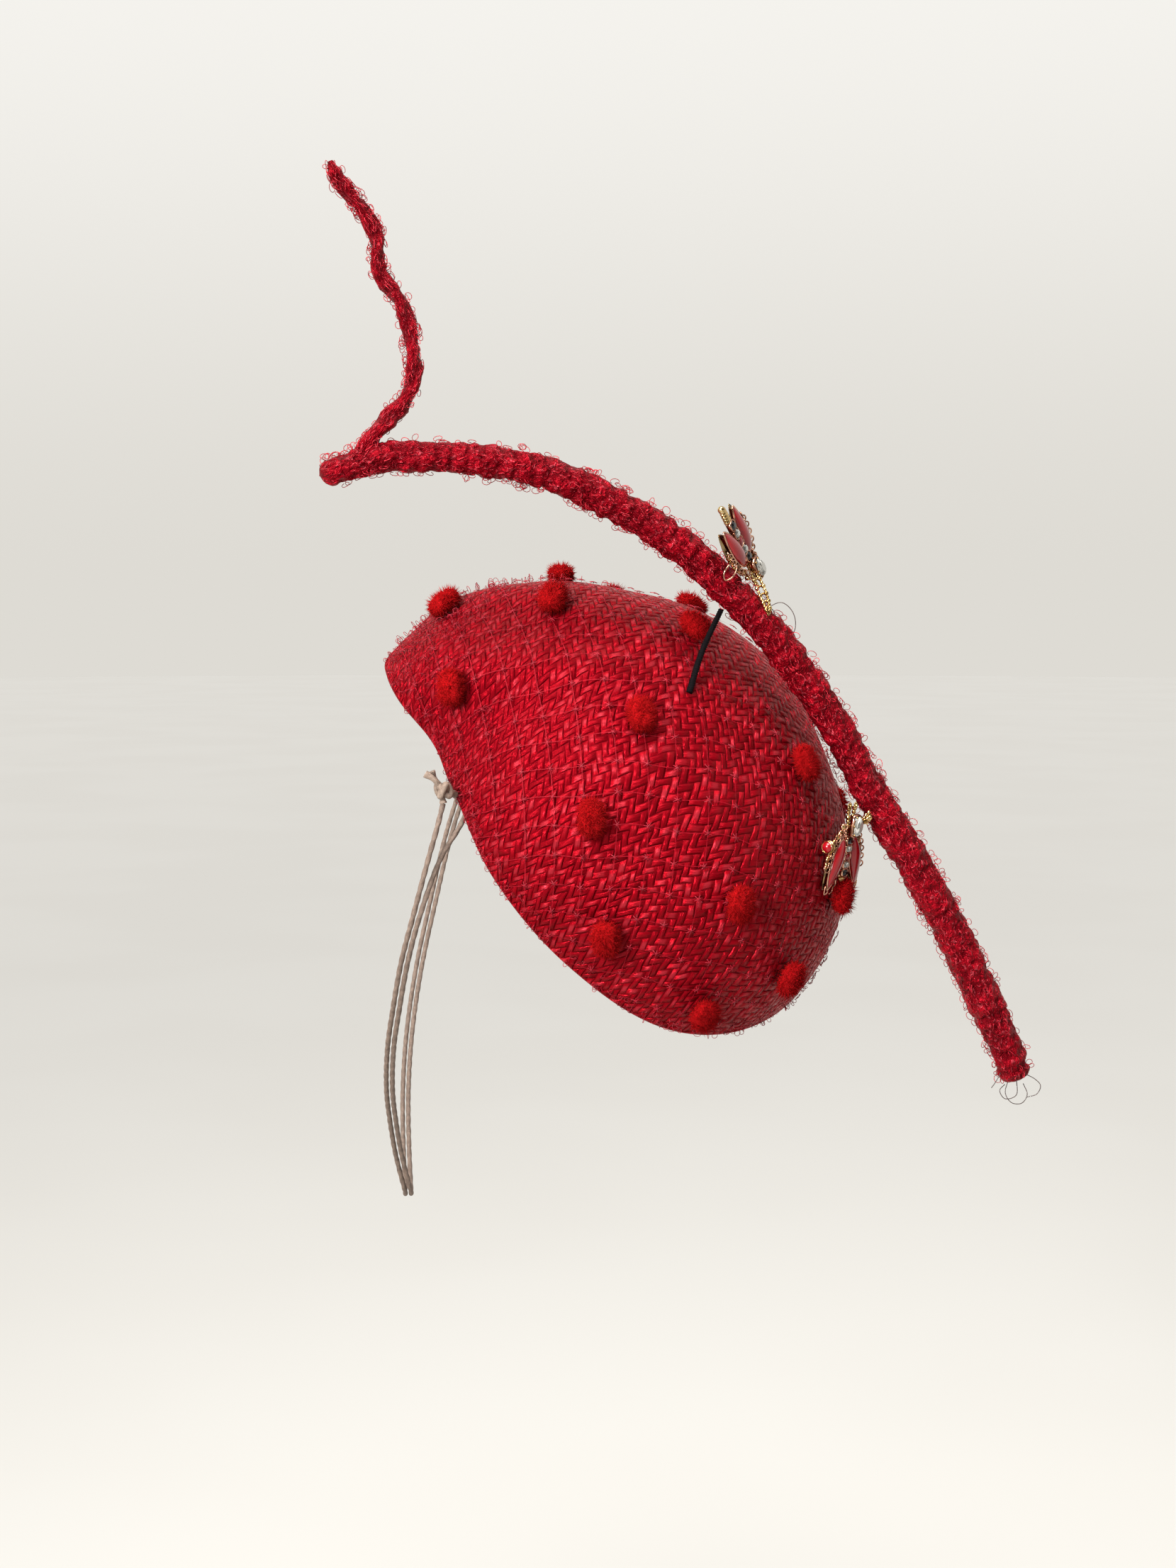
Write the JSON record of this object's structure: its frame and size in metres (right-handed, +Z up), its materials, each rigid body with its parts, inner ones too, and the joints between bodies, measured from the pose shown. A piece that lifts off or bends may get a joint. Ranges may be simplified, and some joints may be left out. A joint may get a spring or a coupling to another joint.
{
  "type": "fascinator",
  "caption": "Tilted red straw percher hat with a dotted net, a long curved crin quill, jewelled insect brooches and a hat elastic.",
  "frame": {"origin": "the centre of the crown's mouth, where the head goes in", "axes": "+Z up, +X where the wearer looks, -Y the wearer's right; the part is in its worn pose, tilted over the right temple"},
  "size_m": [0.2446, 0.1733, 0.3613],
  "materials": {
    "straw": "glossy woven straw",
    "net": "fine net",
    "chenille": "velvety pile",
    "crin": "puckered glossy crin braid",
    "black_wire": "black, satin",
    "gilt": "polished gilt",
    "enamel": "glossy red enamel",
    "jet": "black glass, faceted",
    "crystal": "clear glass, faceted",
    "elastic": "round braided elastic, matt"
  },
  "bodies": {
    "root": {"crown": "straw", "veil": "net", "dot_01": "chenille", "dot_02": "chenille", "dot_03": "chenille", "dot_04": "chenille", "dot_05": "chenille", "dot_06": "chenille", "dot_07": "chenille", "dot_08": "chenille", "dot_09": "chenille", "dot_10": "chenille", "dot_11": "chenille", "dot_12": "chenille", "dot_13": "chenille", "dot_14": "chenille", "dot_15": "chenille", "dot_16": "chenille", "dot_17": "chenille", "dot_18": "chenille", "quill": "crin", "quill_tail": "crin", "stem": "black_wire", "top_brooch_frame": "gilt", "top_brooch_wing_right": "enamel", "top_brooch_wing_left": "enamel", "top_brooch_jet_front": "jet", "top_brooch_clear_front": "crystal", "top_brooch_enamel_mid": "enamel", "top_brooch_clear_back": "crystal", "top_brooch_jet_back": "jet", "top_brooch_head_stone": "crystal", "front_brooch_frame": "gilt", "front_brooch_wing_right": "enamel", "front_brooch_wing_left": "enamel", "front_brooch_jet_front": "jet", "front_brooch_clear_front": "crystal", "front_brooch_enamel_mid": "enamel", "front_brooch_clear_back": "crystal", "front_brooch_jet_back": "jet", "front_brooch_head_stone": "crystal", "elastic_outer": "elastic", "elastic_inner": "elastic", "elastic_knot": "elastic", "elastic_far_knot": "elastic"}
  },
  "joints": []
}
